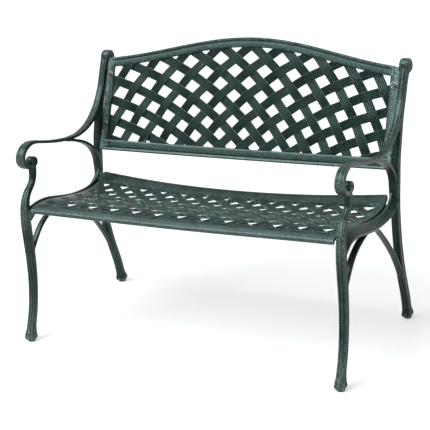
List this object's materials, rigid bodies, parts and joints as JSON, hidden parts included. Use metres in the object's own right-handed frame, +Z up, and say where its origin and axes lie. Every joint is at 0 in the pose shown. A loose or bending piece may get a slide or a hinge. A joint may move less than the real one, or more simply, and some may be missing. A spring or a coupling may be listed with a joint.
{
  "type": "garden bench",
  "caption": "Cast aluminium garden bench with scrolled arms, S-curved legs, a bowed fan-lattice back and a waterfall lattice seat, bolted together.",
  "frame": {"origin": "on the floor below the middle of the whole bench's box", "axes": "+Z up, -Y is the front, where a sitter's legs are, and +X runs along the bench to the right as seen from in front"},
  "size_m": [1.021, 0.62, 0.8031],
  "materials": {
    "cast_aluminium": "powder-coated dark antique green, rubbed paler along edges, slightly mottled, satin",
    "bolt_steel": "stainless socket-head bolts, dark and weathered",
    "washer_steel": "stainless washers, dulled",
    "glide_nylon": "black nylon, matt"
  },
  "bodies": {
    "root": {"side_frame_left": "cast_aluminium", "side_frame_right": "cast_aluminium", "seat_panel": "cast_aluminium", "back_panel": "cast_aluminium", "back_bolt_upper_left": "bolt_steel", "back_bolt_upper_right": "bolt_steel", "back_bolt_lower_left": "bolt_steel", "back_bolt_lower_right": "bolt_steel", "seat_bolt_front_left": "bolt_steel", "seat_bolt_front_right": "bolt_steel", "seat_bolt_rear_left": "bolt_steel", "seat_bolt_rear_right": "bolt_steel", "back_lock_washer_upper_left": "washer_steel", "back_lock_washer_upper_right": "washer_steel", "back_lock_washer_lower_left": "washer_steel", "back_lock_washer_lower_right": "washer_steel", "seat_lock_washer_front_left": "washer_steel", "seat_lock_washer_front_right": "washer_steel", "seat_lock_washer_rear_left": "washer_steel", "seat_lock_washer_rear_right": "washer_steel", "back_flat_washer_upper_left": "washer_steel", "back_flat_washer_upper_right": "washer_steel", "back_flat_washer_lower_left": "washer_steel", "back_flat_washer_lower_right": "washer_steel", "seat_flat_washer_front_left": "washer_steel", "seat_flat_washer_front_right": "washer_steel", "seat_flat_washer_rear_left": "washer_steel", "seat_flat_washer_rear_right": "washer_steel", "foot_glide_front_left": "glide_nylon", "foot_glide_front_right": "glide_nylon", "foot_glide_rear_left": "glide_nylon", "foot_glide_rear_right": "glide_nylon"}
  },
  "joints": []
}
